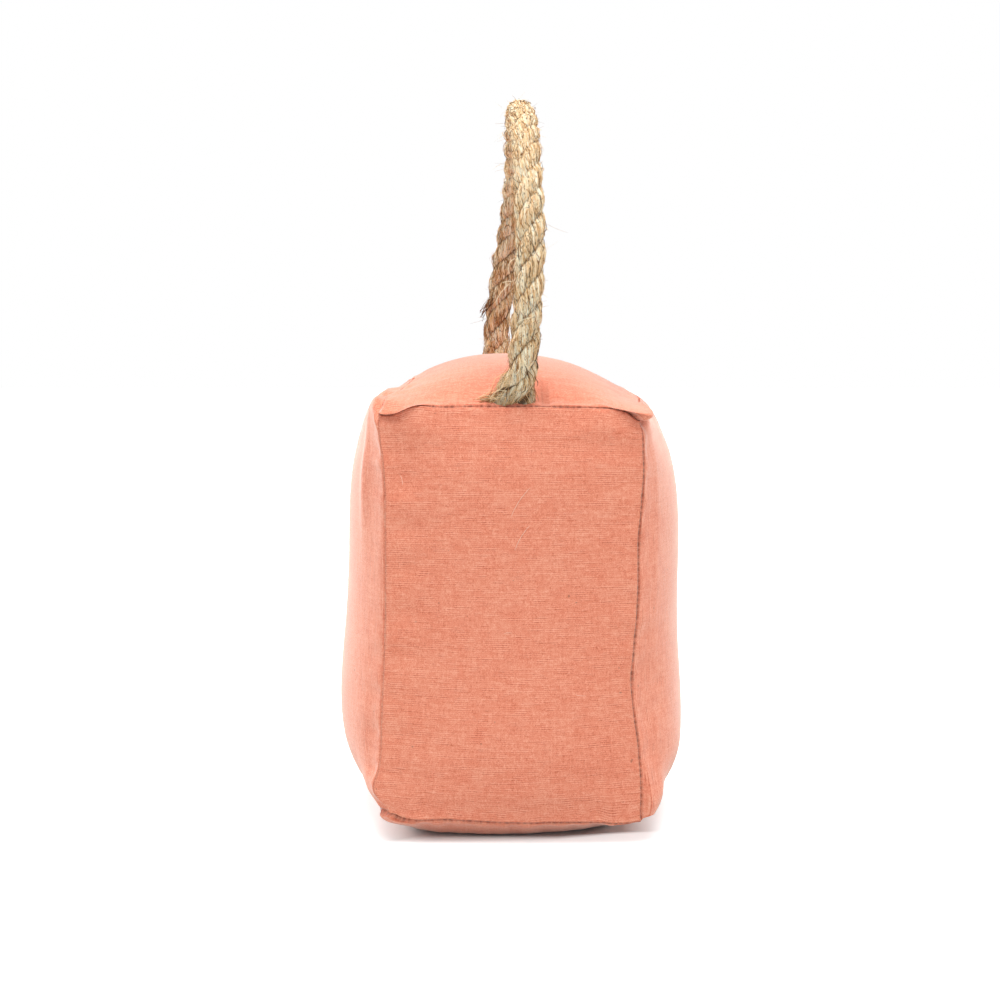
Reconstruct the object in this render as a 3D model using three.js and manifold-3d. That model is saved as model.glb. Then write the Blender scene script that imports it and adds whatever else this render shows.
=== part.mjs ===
// A weighted fabric door stop: a stuffed box of six sewn canvas panels, carried by a laid jute rope
// whose two flattened ends are caught in the top seams at the front and the back.
// Millimetres, +Z up. The front panel faces -Y and the bag stands on the plane Z = 0.
// The origin is on that plane, in the middle of the bag.
import * as THREE from "three";
import { mergeVertices } from "three/addons/utils/BufferGeometryUtils.js";
import Module from "manifold-3d";

// Bag: the frame that the seams make
const panelWidthTop = 107; // front and back panels along their top seam
const panelWidthBase = 112; // the same panels along their bottom seam
const panelDepth = 140; // side panels, from the front seams to the back seams
const seamTop = 186; // corners of the top panel above the floor
const seamBase = 13; // corners of the base panel above the floor

// Bag: how far the filling draws the middle of each seam from the straight line
const uprightTuck = 3; // upright seams, inwards
const topSideTuck = 7; // top seams along the sides, inwards
const topSideRise = 3; // top seams along the sides, upwards
const topFrontTuck = 2; // top seams at the front and the back, inwards
const topFrontRise = 2; // top seams at the front and the back, upwards
const baseFrontDrop = 1.5; // bottom seams at the front and the back, downwards
const baseSideDrop = 5; // bottom seams along the sides, downwards
const seamSink = 1.2; // how deep a seam lies between the two panels that it joins

// Bag: how far the filling pushes the middle of each panel out of its four seams
const sideBulge = 26;
const frontBulge = 11;
const topBulge = 16;
const baseSag = 18; // more than seamBase, so that the floor flattens the base panel

// Bag: the profile of a filled panel, from 0 at its seams to 1 in the middle. A higher fullness
// makes a wider flat middle, and a lower shoulder rounds the cloth over more sharply at the seam.
const acrossProfile = { fullness: 2, shoulder: 0.62 };
const uprightProfile = { fullness: 6, shoulder: 0.5 };
const topProfile = { fullness: 2.2, shoulder: 0.62 };
const baseProfile = { fullness: 4, shoulder: 0.62 };

// Bag: facets along the width, the depth and the height
const widthFacets = 14;
const depthFacets = 18;
const heightFacets = 20;

// Rope handle
const ropeDiameter = 12;
const ropeStrands = 3;
const ropePitch = 36; // one full turn of the strands
const strandShare = 0.55; // radius of a strand, as a share of the rope's radius
const handleRise = 124; // middle of the rope at the top of the loop, above the top seam
const tailDepth = 10; // length of rope sewn into each seam
const tailWidth = 21; // the rope's end is beaten flat where the seam holds it
const tailThickness = 5.5;
const flareLength = 14; // above the seam, where the flat end becomes round rope
const frontLean = 22; // sideways pull of the front limb
const backLean = -4; // sideways pull of the back limb
const backOffset = -7; // the back end is sewn in beside the middle
const limbBow = 30; // fore-and-aft pull of both limbs, which squares the loop's shoulders
const ropeFacetsAround = 18;
const ropeFacetLength = 3.6;

// The recess that the rope's foot presses into the bag
const footClearance = 0.35;
const recessLength = 34; // along the rope from the end of its tail

const clothColour = new THREE.Color(0.9, 0.57, 0.47);
const juteColour = new THREE.Color(0.78, 0.65, 0.47);

// The height of a filled panel's profile at t, which runs from -1 to 1 between two seams.
function cushion(t, profile) {
  return Math.max(0, 1 - Math.abs(t) ** profile.fullness) ** profile.shoulder;
}

// How much of a seam's bow is felt at t, which runs from -1 to 1 between its corners.
function bow(t) {
  return 1 - t * t;
}

// A point of the sewn frame with no filling. a, b and c run from -1 to 1 along X, Y and Z, and at
// least one of them is -1 or 1. Each panel is the Coons patch between its four bowed seams.
function seamFramePoint(a, b, c) {
  const up = (1 + c) / 2;
  const low = 1 - up;
  const halfWidth = (panelWidthTop * up + panelWidthBase * low) / 2;
  const drawnIn = uprightTuck * bow(c);
  const x = a * (halfWidth - drawnIn - topSideTuck * up * bow(b));
  const y = b * (panelDepth / 2 - drawnIn - topFrontTuck * up * bow(a));
  const rise = up * (topFrontRise * bow(a) + topSideRise * bow(b));
  const drop = low * (baseFrontDrop * bow(a) + baseSideDrop * bow(b));
  const z = seamTop * up + seamBase * low + rise - drop;
  return new THREE.Vector3(x, y, z);
}

// A point of the filled bag, for the same a, b and c.
function bagPoint(a, b, c) {
  const onEdge = 1 - 1e-6;
  const ends = [a, b, c].map((t) => (Math.abs(t) > onEdge ? Math.sign(t) : 0));
  const [endX, endY, endZ] = ends;
  const point = seamFramePoint(a, b, c);
  if (ends.filter((end) => end !== 0).length > 1) {
    point.addScaledVector(new THREE.Vector3(endX, endY, endZ), -seamSink);
  }
  const upright = cushion(c, uprightProfile);
  point.x += endX * sideBulge * cushion(b, acrossProfile) * upright;
  point.y += endY * frontBulge * cushion(a, acrossProfile) * upright;
  if (endZ > 0) point.z += topBulge * cushion(a, topProfile) * cushion(b, topProfile);
  if (endZ < 0) point.z -= baseSag * cushion(a, baseProfile) * cushion(b, baseProfile);
  point.z = Math.max(0, point.z);
  return point;
}

// The bag's surface: a box whose facets crowd towards the seams, filled out point by point.
function bagGeometry() {
  const geometry = new THREE.BoxGeometry(2, 2, 2, widthFacets, depthFacets, heightFacets);
  const position = geometry.getAttribute("position");
  const crowd = (t) => Math.sin((t * Math.PI) / 2);
  for (let i = 0; i < position.count; i += 1) {
    const [a, b, c] = [position.getX(i), position.getY(i), position.getZ(i)].map(crowd);
    position.setXYZ(i, ...bagPoint(a, b, c).toArray());
  }
  return geometry;
}

// The rope's middle line, from the end of the front tail to the end of the back tail.
function handleCurve() {
  const frontSeam = seamFramePoint(0, -1, 1);
  const backSeam = seamFramePoint(0, 1, 1);
  const tailEnd = frontSeam.z - tailDepth;
  // A cubic Bezier curve whose middle two points are this high rises to three quarters of it.
  const pullHeight = tailEnd + (handleRise + tailDepth) / 0.75;
  return new THREE.CubicBezierCurve3(
    new THREE.Vector3(0, frontSeam.y, tailEnd),
    new THREE.Vector3(frontLean, frontSeam.y - limbBow, pullHeight),
    new THREE.Vector3(backLean, backSeam.y + limbBow, pullHeight),
    new THREE.Vector3(backOffset, backSeam.y, tailEnd),
  );
}

// How far a three-strand rope reaches at an angle from the middle of one strand, as a share of the
// rope's radius: the far side of a circle whose middle lies off the rope's own.
function strandReach(angle) {
  const apart = (2 * Math.PI) / ropeStrands;
  const offStrand = angle - apart * Math.round(angle / apart);
  const middle = 1 - strandShare;
  const across = middle * Math.sin(offStrand);
  return middle * Math.cos(offStrand) + Math.sqrt(strandShare ** 2 - across ** 2);
}

// A stretch of the handle, from one distance along it to another, grown by a clearance.
function ropeGeometry(from, to, clearance) {
  const curve = handleCurve();
  const length = curve.getLength();
  const steps = Math.ceil((to - from) / ropeFacetLength);
  const geometry = new THREE.CylinderGeometry(1, 1, 1, ropeFacetsAround, steps);
  const position = geometry.getAttribute("position");
  const sideways = new THREE.Vector3(1, 0, 0);
  for (let i = 0; i < position.count; i += 1) {
    const along = from + (to - from) * (position.getY(i) + 0.5);
    const angle = Math.atan2(position.getX(i), position.getZ(i));
    const filled = Math.hypot(position.getX(i), position.getZ(i)) > 0.5 ? 1 : 0;
    const fraction = THREE.MathUtils.clamp(along / length, 0, 1);
    const tangent = curve.getTangentAt(fraction);
    const across = new THREE.Vector3().crossVectors(tangent, sideways).normalize();
    const side = new THREE.Vector3().crossVectors(across, tangent);
    const fromEnd = Math.min(along, length - along) - tailDepth;
    const round = THREE.MathUtils.smoothstep(fromEnd, 0, flareLength);
    const twist = (2 * Math.PI * along) / ropePitch;
    const roundReach = (ropeDiameter / 2) * strandReach(angle - twist);
    const sideReach = THREE.MathUtils.lerp(tailWidth / 2, roundReach, round) + clearance;
    const acrossReach = THREE.MathUtils.lerp(tailThickness / 2, roundReach, round) + clearance;
    const point = curve.getPointAt(fraction);
    point.addScaledVector(tangent, along - fraction * length);
    point.addScaledVector(side, filled * sideReach * Math.cos(angle));
    point.addScaledVector(across, filled * acrossReach * Math.sin(angle));
    position.setXYZ(i, ...point.toArray());
  }
  return geometry;
}

const wasm = await Module();
wasm.setup();

// A closed geometry as a solid that can be cut and joined.
function solidFrom(geometry) {
  const bare = geometry.clone();
  bare.deleteAttribute("normal");
  bare.deleteAttribute("uv");
  const merged = mergeVertices(bare, 1e-4);
  return new wasm.Manifold(
    new wasm.Mesh({
      numProp: 3,
      vertProperties: merged.getAttribute("position").array,
      triVerts: new Uint32Array(merged.getIndex().array),
    }),
  );
}

// A solid as a geometry that can be drawn.
function geometryFrom(solid) {
  const mesh = solid.getMesh();
  const geometry = new THREE.BufferGeometry();
  geometry.setAttribute("position", new THREE.BufferAttribute(mesh.vertProperties, 3));
  geometry.setIndex(new THREE.BufferAttribute(mesh.triVerts, 1));
  geometry.computeVertexNormals();
  return geometry;
}

function makeRope() {
  const material = new THREE.MeshStandardMaterial({ color: juteColour, roughness: 0.95, metalness: 0 });
  const length = handleCurve().getLength();
  const mesh = new THREE.Mesh(ropeGeometry(0, length, 0), material);
  mesh.name = "rope_handle";
  return mesh;
}

function makeBag() {
  const material = new THREE.MeshStandardMaterial({ color: clothColour, roughness: 0.9, metalness: 0 });
  const length = handleCurve().getLength();
  const frontRecess = solidFrom(ropeGeometry(-footClearance, recessLength, footClearance));
  const backRecess = solidFrom(
    ropeGeometry(length - recessLength, length + footClearance, footClearance),
  );
  const solid = solidFrom(bagGeometry()).subtract(frontRecess).subtract(backRecess);
  const mesh = new THREE.Mesh(geometryFrom(solid), material);
  mesh.name = "stuffed_bag";
  return mesh;
}

const doorStop = new THREE.Group();
doorStop.add(makeBag(), makeRope());

export default doorStop;
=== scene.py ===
"""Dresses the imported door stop: a stuffed canvas bag and the jute rope that carries it.

Everything is in metres, +Z up, with the front panel facing -Y and the bag standing on Z = 0.
"""

import logging
import math
from dataclasses import dataclass, field
from enum import Enum
from typing import Any, Mapping, Sequence, Union

import bpy
import numpy as np
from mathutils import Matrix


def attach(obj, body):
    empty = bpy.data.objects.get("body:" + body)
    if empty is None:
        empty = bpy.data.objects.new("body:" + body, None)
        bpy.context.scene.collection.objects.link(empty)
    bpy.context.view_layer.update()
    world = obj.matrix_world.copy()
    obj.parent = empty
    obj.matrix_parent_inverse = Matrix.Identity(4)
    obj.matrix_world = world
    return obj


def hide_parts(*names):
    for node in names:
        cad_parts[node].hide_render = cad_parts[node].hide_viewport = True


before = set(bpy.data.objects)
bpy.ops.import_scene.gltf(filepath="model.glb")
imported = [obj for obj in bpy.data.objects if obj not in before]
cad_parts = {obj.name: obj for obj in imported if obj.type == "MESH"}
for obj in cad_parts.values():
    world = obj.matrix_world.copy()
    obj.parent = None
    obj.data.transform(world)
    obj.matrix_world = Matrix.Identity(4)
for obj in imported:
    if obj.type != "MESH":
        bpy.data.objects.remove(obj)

Array = np.ndarray
MM = 0.001
TURN = 2 * math.pi
log = logging.getLogger("door_stop")


# Numbers


def smooth_step(value: Array, start: float, end: float) -> Array:
    """Rises from 0 to 1 between start and end, as 3t squared less 2t cubed.

    Args:
        value: Where it is wanted.
        start: Where the rise begins.
        end: Where it is complete. It may be below start.

    Returns:
        The share of the rise that is done.
    """
    share = np.clip((value - start) / (end - start), 0, 1)
    return share * share * (3 - 2 * share)


def bump(value: Array, centre: float, reach: float) -> Array:
    """A bell of height 1 round centre: e to the power of minus the squared offset over reach."""
    return np.exp(-(((value - centre) / reach) ** 2))


def unit(vectors: Array) -> Array:
    """Scales each vector along the last axis to length 1."""
    return vectors / np.maximum(np.linalg.norm(vectors, axis=-1, keepdims=True), 1e-12)


def ripple(value: Array, wavelength: float, seed: int) -> Array:
    """An uneven wave: the mean of four sines of nearby wavelengths with seeded phases.

    Args:
        value: Distance along the wave.
        wavelength: The middle wavelength.
        seed: Picks the phases and the spread of the wavelengths.

    Returns:
        Heights, mostly between -1 and 1.
    """
    draw = np.random.default_rng(seed)
    rates = TURN / (wavelength * draw.uniform(0.65, 1.6, 4))
    phases = draw.uniform(0, TURN, 4)
    waves = np.sin(value[..., None] * rates + phases)
    return waves.sum(axis=-1) / 2


def spline_weights(knots: Array, samples: Array) -> Array:
    """Finds the matrix that turns values at knots into values of their natural cubic spline.

    The curvatures at the knots solve the three-band system in which the slope of each piece
    runs on into the next, with no curvature at the two ends.

    Args:
        knots: Rising positions of the known values.
        samples: Positions at which values are wanted.

    Returns:
        One row for each sample and one column for each knot.
    """
    gap = np.diff(knots)
    every = np.eye(len(knots))
    band = every.copy()
    pull = np.zeros_like(band)
    row = np.arange(1, len(knots) - 1)
    band[row, row - 1] = gap[:-1]
    band[row, row] = 2 * (gap[:-1] + gap[1:])
    band[row, row + 1] = gap[1:]
    pull[row, row - 1] = 6 / gap[:-1]
    pull[row, row] = -6 / gap[:-1] - 6 / gap[1:]
    pull[row, row + 1] = 6 / gap[1:]
    curve = np.linalg.solve(band, pull)
    cell = np.clip(np.searchsorted(knots, samples, side="right") - 1, 0, len(gap) - 1)
    after = ((samples - knots[cell]) / gap[cell])[:, None]
    before = 1 - after
    bent = (before**3 - before) * curve[cell] + (after**3 - after) * curve[cell + 1]
    return before * every[cell] + after * every[cell + 1] + bent * (gap[cell] ** 2 / 6)[:, None]


def arcs(start: Array, bend: Array, end: Array, count: int) -> Array:
    """Draws quadratic Bezier curves, one for each row of start, bend and end.

    Args:
        start: Where each curve starts.
        bend: The point that each one bends towards.
        end: Where each one ends.
        count: How many points each curve has.

    Returns:
        Points as curve by point by axis.
    """
    t = np.linspace(0, 1, count)[None, :, None]
    return start[:, None] * (1 - t) ** 2 + 2 * bend[:, None] * t * (1 - t) + end[:, None] * t * t


# Meshes


@dataclass
class Skin:
    """Points and faces on their way into a mesh, with what its materials read."""

    points: Array
    quads: Array
    triangles: Array = field(default_factory=lambda: np.zeros((0, 3), dtype=int))
    numbers: dict[str, Array] = field(default_factory=dict)
    vectors: dict[str, Array] = field(default_factory=dict)
    loop_uv: Union[Array, None] = None

    def object(self, name: str, material: bpy.types.Material) -> bpy.types.Object:
        """Makes a smooth-shaded object at the origin.

        Args:
            name: The piece's name.
            material: Its finish.

        Returns:
            The new object, linked to the scene.
        """
        mesh = bpy.data.meshes.new(name)
        mesh.from_pydata(self.points.tolist(), [], self.quads.tolist() + self.triangles.tolist())
        for label, values in self.numbers.items():
            mesh.attributes.new(label, "FLOAT", "POINT").data.foreach_set("value", values.ravel())
        for label, values in self.vectors.items():
            layer = mesh.attributes.new(label, "FLOAT_VECTOR", "POINT")
            layer.data.foreach_set("vector", values.ravel())
        if self.loop_uv is not None:
            mesh.uv_layers.new(name="panel").data.foreach_set("uv", self.loop_uv.ravel())
        mesh.polygons.foreach_set("use_smooth", np.ones(len(mesh.polygons), dtype=bool))
        mesh.materials.append(material)
        mesh.update()
        made = bpy.data.objects.new(name, mesh)
        bpy.context.scene.collection.objects.link(made)
        return made


def joined(skins: Sequence[Skin]) -> Skin:
    """Puts several skins into one, with the faces renumbered.

    Args:
        skins: The parts. They all carry the same numbers and vectors.

    Returns:
        One skin of them all.
    """
    starts = np.cumsum([0] + [len(part.points) for part in skins])
    return Skin(
        np.concatenate([part.points for part in skins]),
        np.concatenate([part.quads + start for part, start in zip(skins, starts)]),
        np.concatenate([part.triangles + start for part, start in zip(skins, starts)]),
        {key: np.concatenate([part.numbers[key] for part in skins]) for key in skins[0].numbers},
        {key: np.concatenate([part.vectors[key] for part in skins]) for key in skins[0].vectors},
    )


def fibres(paths: Array, radii: Array, sides: int = 3, shade: Union[Array, None] = None) -> Skin:
    """Sweeps many thin closed tubes at once, each tapering to a blunt tip.

    A tube's ring stands square to its path: centre plus radius times cosine of the angle along
    one normal and sine along the other.

    Args:
        paths: Points along each fibre, as fibre by point by 3.
        radii: Radius at each of those points.
        sides: Corners of the section.
        shade: How light it is at each of those points, from 0 to 1. Without it each fibre's
            shade is random.

    Returns:
        The skin of them all, with the number "shade".
    """
    count, length = paths.shape[:2]
    along = unit(np.gradient(paths, axis=1))
    steady = np.where(np.abs(along[:, :1, 2:]) < 0.8, [0.0, 0.0, 1.0], [1.0, 0.0, 0.0])
    first = unit(np.cross(along, np.broadcast_to(steady, along.shape)))
    second = np.cross(along, first)
    angle = (np.arange(sides) * TURN / sides)[:, None]
    ring = first[:, :, None] * np.cos(angle) + second[:, :, None] * np.sin(angle)
    points = paths[:, :, None] + ring * radii[:, :, None, None]
    number = np.arange(count * length * sides).reshape(count, length, sides)
    turned = np.roll(number, -1, axis=2)
    quads = np.stack([number[:, :-1], turned[:, :-1], turned[:, 1:], number[:, 1:]], axis=-1)
    fan = np.arange(1, sides - 1)
    hub = np.zeros_like(fan)
    tips = number[:, -1][:, np.stack([hub, fan, fan + 1], axis=-1)]
    roots = number[:, 0][:, np.stack([hub, fan + 1, fan], axis=-1)]
    if shade is None:
        shade = np.random.default_rng(count).uniform(0, 1, (count, 1))
    return Skin(
        points.reshape(-1, 3),
        quads.reshape(-1, 4),
        np.concatenate([tips.reshape(-1, 3), roots.reshape(-1, 3)]),
        {"shade": np.repeat(np.broadcast_to(shade, (count, length)).ravel(), sides)},
    )


# Shaders


class Signal:
    """One number that varies over a surface: a shader socket that arithmetic works on."""

    def __init__(self, sheet: "Sheet", socket: bpy.types.NodeSocket) -> None:
        """Keeps the node sheet and the output socket."""
        self.sheet = sheet
        self.socket = socket

    def __add__(self, other: Any) -> "Signal":
        """Self plus other."""
        return self.sheet.maths("ADD", self, other)

    def __sub__(self, other: Any) -> "Signal":
        """Self less other."""
        return self.sheet.maths("SUBTRACT", self, other)

    def __rsub__(self, other: Any) -> "Signal":
        """Other less self."""
        return self.sheet.maths("SUBTRACT", other, self)

    def __mul__(self, other: Any) -> "Signal":
        """Self times other."""
        return self.sheet.maths("MULTIPLY", self, other)

    def __truediv__(self, other: Any) -> "Signal":
        """Self over other."""
        return self.sheet.maths("DIVIDE", self, other)


class Sheet:
    """The node sheet of one material or world."""

    def __init__(self, tree: bpy.types.NodeTree) -> None:
        """Clears the tree and keeps it."""
        tree.nodes.clear()
        self.tree = tree

    def node(self, kind: str, settings: Mapping[str, Any], sockets: Mapping[Any, Any]) -> bpy.types.Node:
        """Adds a node, sets it, then fills its sockets.

        Args:
            kind: The node's type, without the word ShaderNode.
            settings: Its own settings. "stops" holds a ramp's positions and colours.
            sockets: A value, signal or output socket for each input name or number.

        Returns:
            The node.
        """
        made = self.tree.nodes.new("ShaderNode" + kind)
        for key, value in settings.items():
            if key == "stops":
                points = made.color_ramp.elements
                while len(points) < len(value):
                    points.new(1.0)
                for point, (place, colour) in zip(points, value):
                    point.position = place
                    point.color = colour
            else:
                setattr(made, key, value)
        for key, value in sockets.items():
            value = value.socket if isinstance(value, Signal) else value
            if isinstance(value, bpy.types.NodeSocket):
                self.tree.links.new(value, made.inputs[key])
            else:
                made.inputs[key].default_value = value
        return made

    def attribute(self, name: str) -> Signal:
        """The number of that name that the mesh carries."""
        return Signal(self, self.node("Attribute", {"attribute_name": name}, {}).outputs["Fac"])

    def axes(self, vector: bpy.types.NodeSocket) -> list[Signal]:
        """The vector's three parts."""
        parts = self.node("SeparateXYZ", {}, {0: vector}).outputs
        return [Signal(self, part) for part in parts]

    def surface(self, sockets: Mapping[str, Any]) -> None:
        """Ends the material in a Principled surface with those inputs."""
        shader = self.node("BsdfPrincipled", {}, sockets)
        self.node("OutputMaterial", {}, {0: shader.outputs[0]})

    def maths(self, operation: str, *values: Any) -> Signal:
        """A Math node of that operation on signals and numbers."""
        made = self.node("Math", {"operation": operation}, dict(enumerate(values)))
        return Signal(self, made.outputs[0])

    def noise(self, vector: bpy.types.NodeSocket, detail: float = 2.0, rough: float = 0.5) -> Signal:
        """Noise of one cell for each unit of the vector, about 0.5."""
        sockets = {"Vector": vector, "Scale": 1.0, "Detail": detail, "Roughness": rough}
        return Signal(self, self.node("TexNoise", {}, sockets).outputs[0])

    def cells(
        self, vector: bpy.types.NodeSocket, rates: tuple, detail: float = 2.0, rough: float = 0.5
    ) -> Signal:
        """Noise of that many cells for each metre along each of the vector's axes."""
        scaled = self.node("Mapping", {}, {"Vector": vector, "Scale": rates})
        return self.noise(scaled.outputs[0], detail, rough)

    def ramp(self, value: Signal, stops: Sequence[tuple[float, tuple]]) -> bpy.types.NodeSocket:
        """A colour for each value, from stops of place and colour."""
        return self.node("ValToRGB", {"stops": stops}, {0: value}).outputs[0]

    def span(self, value: Signal, low: float, high: float) -> Signal:
        """The value's place between low and high, held between 0 and 1."""
        sockets = {"Value": value, "From Min": low, "From Max": high}
        return Signal(self, self.node("MapRange", {"clamp": True}, sockets).outputs[0])

    def mix(self, share: Any, first: Any, second: Any) -> bpy.types.NodeSocket:
        """Two colours mixed, with the second one's share."""
        return self.node("Mix", {"data_type": "RGBA"}, {0: share, 6: first, 7: second}).outputs[2]


def linear(red: int, green: int, blue: int) -> tuple[float, float, float, float]:
    """Turns a screen colour of 0 to 255 into the linear one that shaders take.

    Args:
        red: Its red.
        green: Its green.
        blue: Its blue.

    Returns:
        Linear red, green, blue and a full alpha.
    """
    shares = np.array([red, green, blue]) / 255
    lit = np.where(shares <= 0.04045, shares / 12.92, ((shares + 0.055) / 1.055) ** 2.4)
    return (*(float(value) for value in lit), 1.0)


def blank_material(name: str) -> tuple[bpy.types.Material, Sheet]:
    """A new material of that name, and its empty node sheet."""
    made = bpy.data.materials.new(name)
    made.use_nodes = True
    return made, Sheet(made.node_tree)


@dataclass(frozen=True)
class CanvasFinish:
    """Washed plain-weave cotton with slubby weft, drawn on the panels' own flat map, with painted shade
    in the seams' creases.
    """

    weft_pitch: float = 0.86 * MM
    warp_pitch: float = 0.74 * MM
    thread_height: float = 0.16 * MM
    cloth: tuple = linear(237, 138, 108)
    pale: tuple = linear(252, 178, 150)
    deep: tuple = linear(208, 104, 78)
    # The colour of the painted shade in the seams' creases.
    seam_shade: tuple = linear(104, 40, 30)
    stitch_pitch: float = 2.6 * MM
    fleck: tuple = linear(150, 84, 66)
    thread_run: float = 9 * MM
    sway: float = 0.6 * MM

    def material(self) -> bpy.types.Material:
        """Builds the woven cloth.

        Returns:
            The material, named for the canvas slot.
        """
        made, sheet = blank_material("canvas")
        flat = sheet.node("UVMap", {"uv_map": "panel"}, {}).outputs[0]
        place = sheet.node("TexCoord", {}, {}).outputs["Object"]
        across, up, _ = sheet.axes(flat)
        sway = sheet.cells(flat, (45, 45, 1), 1) * self.sway
        weft, weft_tone = self._threads(sheet, up + sway, across, self.weft_pitch)
        warp, warp_tone = self._threads(sheet, across + sway, up, self.warp_pitch)
        grain = sheet.cells(place, (2300, 2300, 2300), 2, 0.6)
        patch = sheet.cells(place, (42, 42, 42), 2)
        slub = sheet.span(weft_tone, 0.62, 0.74) * weft
        nep = sheet.span(sheet.cells(place, (1300, 1300, 1300), 1), 0.62, 0.72)
        short = sheet.span(sheet.cells(flat, (110, 480, 1), 1), 0.5, 0.66)
        long = sheet.span(sheet.cells(flat, (32, 620, 1), 1), 0.56, 0.68)
        burst = sheet.maths("MAXIMUM", short, long * 0.7) + 0.15
        tone = weft_tone * 0.3 + warp_tone * 0.18 + grain * 0.48 + patch * 0.05
        tone = tone + (weft - 0.5) * burst * 0.18
        colour = sheet.ramp(tone, [(0.33, self.deep), (0.475, self.cloth), (0.64, self.pale)])
        colour = sheet.mix(sheet.maths("MAXIMUM", slub * 0.55, nep * 0.6), colour, self.pale)
        speck = sheet.cells(place, (520, 520, 520), 0)
        colour = sheet.mix(sheet.span(speck, 0.865, 0.89) * 0.5, colour, self.fleck)
        # Painted shade in the seams' creases, in uneven dashes at the stitch pitch.
        run = sheet.attribute("run")
        dotted = sheet.span(sheet.maths("SINE", run * (TURN / self.stitch_pitch)), -0.55, 0.35)
        spot = sheet.node("CombineXYZ", {}, {0: run / (9 * MM), 1: run / (2.7 * MM)})
        uneven = sheet.span(sheet.noise(spot.outputs[0], 2), 0.34, 0.58) * 0.5 + 0.5
        valley = sheet.attribute("valley") * uneven * (dotted * 0.3 + 0.7)
        colour = sheet.mix(valley, colour, self.seam_shade)
        height = weft * burst * 0.26 + warp * 0.2 + weft_tone * 0.8 + warp_tone * 0.6 + grain * 0.7
        relief = {"Strength": 0.7, "Distance": self.thread_height, "Height": height}
        sheet.surface(
            {
                "Base Color": colour,
                "Roughness": 0.92,
                "Specular IOR Level": 0.2,
                "Sheen Weight": 0.9,
                "Sheen Roughness": 0.35,
                "Sheen Tint": linear(255, 240, 230),
                "Normal": sheet.node("Bump", {}, relief).outputs[0],
            }
        )
        return made

    def _threads(self, sheet: Sheet, over: Signal, along: Signal, pitch: float) -> tuple[Signal, Signal]:
        """One set of parallel threads.

        Args:
            sheet: The sheet that the nodes go on.
            over: Distance across the threads.
            along: Distance along them.
            pitch: From one thread to the next.

        Returns:
            The threads' round profile from 0 to 1, and a tone that changes from thread to thread.
        """
        row = over / pitch
        profile = sheet.maths("SINE", row * TURN) * 0.5 + 0.5
        number = sheet.maths("FLOOR", row)
        apart = {0: along / self.thread_run, 1: number * 7.31, 2: number * 0.37}
        return profile, sheet.noise(sheet.node("CombineXYZ", {}, apart).outputs[0], 4, 0.75)


@dataclass(frozen=True)
class JuteFinish:
    """Hairy twisted jute, streaked along its yarns, with painted shade in its grooves."""

    pale: tuple = linear(255, 249, 225)
    middle: tuple = linear(248, 212, 160)
    brown: tuple = linear(202, 148, 90)
    dark: tuple = linear(66, 38, 16)
    streak_length: float = 7 * MM
    streak_width: float = 0.5 * MM
    streak_height: float = 0.45 * MM

    def material(self) -> bpy.types.Material:
        """Builds the yarn's finish, which reads the vector "yarn" and a number for the painted shade in
        the grooves and on the back limb, which also darkens both feet.

        Returns:
            The material, named for the jute slot.
        """
        made, sheet = blank_material("jute")
        yarn = sheet.node("Attribute", {"attribute_name": "yarn"}, {}).outputs["Vector"]
        long_rate, wide_rate = 1 / self.streak_length, 1 / self.streak_width
        rates = (long_rate, wide_rate, wide_rate)
        finer = (long_rate * 2.5, wide_rate * 3, wide_rate * 3)
        streak = sheet.cells(yarn, rates, 3, 0.7)
        fine = sheet.cells(yarn, finer, 2, 0.7)
        patch = sheet.cells(yarn, (90, 260, 260), 1)
        tone = streak * 0.62 + fine * 0.38 + patch * 0.25
        stops = [(0.43, self.dark), (0.52, self.brown), (0.59, self.middle), (0.7, self.pale)]
        colour = sheet.ramp(tone, stops)
        pit = sheet.cells(yarn, (900, 1500, 1500), 1)
        colour = sheet.mix(sheet.span(pit, 0.61, 0.71) * 0.86, colour, self.dark)
        # Painted shade: the grooves between yarns and strands and the back limb go dark, and so do both
        # feet.
        colour = sheet.mix(sheet.attribute("hollow") * 0.92, colour, self.dark)
        height = streak * 0.7 + fine * 0.5
        relief = {"Strength": 0.9, "Distance": self.streak_height, "Height": height}
        sheet.surface(
            {
                "Base Color": colour,
                "Roughness": 0.88,
                "Specular IOR Level": 0.25,
                "Normal": sheet.node("Bump", {}, relief).outputs[0],
            }
        )
        return made


@dataclass(frozen=True)
class FibreFinish:
    """Loose fibres, each a slightly different shade, which on the rope's lying hairs also holds painted
    shade and a painted lighter top.
    """

    name: str
    stops: tuple

    def material(self) -> bpy.types.Material:
        """Builds the fibres' finish, which reads the number "shade".

        Returns:
            The material.
        """
        made, sheet = blank_material(self.name)
        colour = sheet.ramp(sheet.attribute("shade"), self.stops)
        sheet.surface({"Base Color": colour, "Roughness": 0.75, "Specular IOR Level": 0.3})
        return made


JUTE_FIBRE = FibreFinish(
    "jute_fibre",
    (
        (0.0, linear(62, 36, 16)),
        (0.22, linear(178, 124, 74)),
        (0.5, linear(244, 202, 148)),
        (1.0, linear(255, 242, 208)),
    ),
)
SEAM_THREAD = FibreFinish("seam_thread", ((0.0, linear(186, 98, 74)), (1.0, linear(224, 140, 112))))
LINT_FIBRE = FibreFinish("lint_fibre", ((0.0, linear(250, 196, 172)), (1.0, linear(255, 222, 200))))


# The bag


class Side(Enum):
    """The six panels. Each value gives the axis that it ends, and at which end."""

    FRONT = (1, -1)
    BACK = (1, 1)
    LEFT = (0, -1)
    RIGHT = (0, 1)
    TOP = (2, 1)
    BASE = (2, -1)


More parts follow.
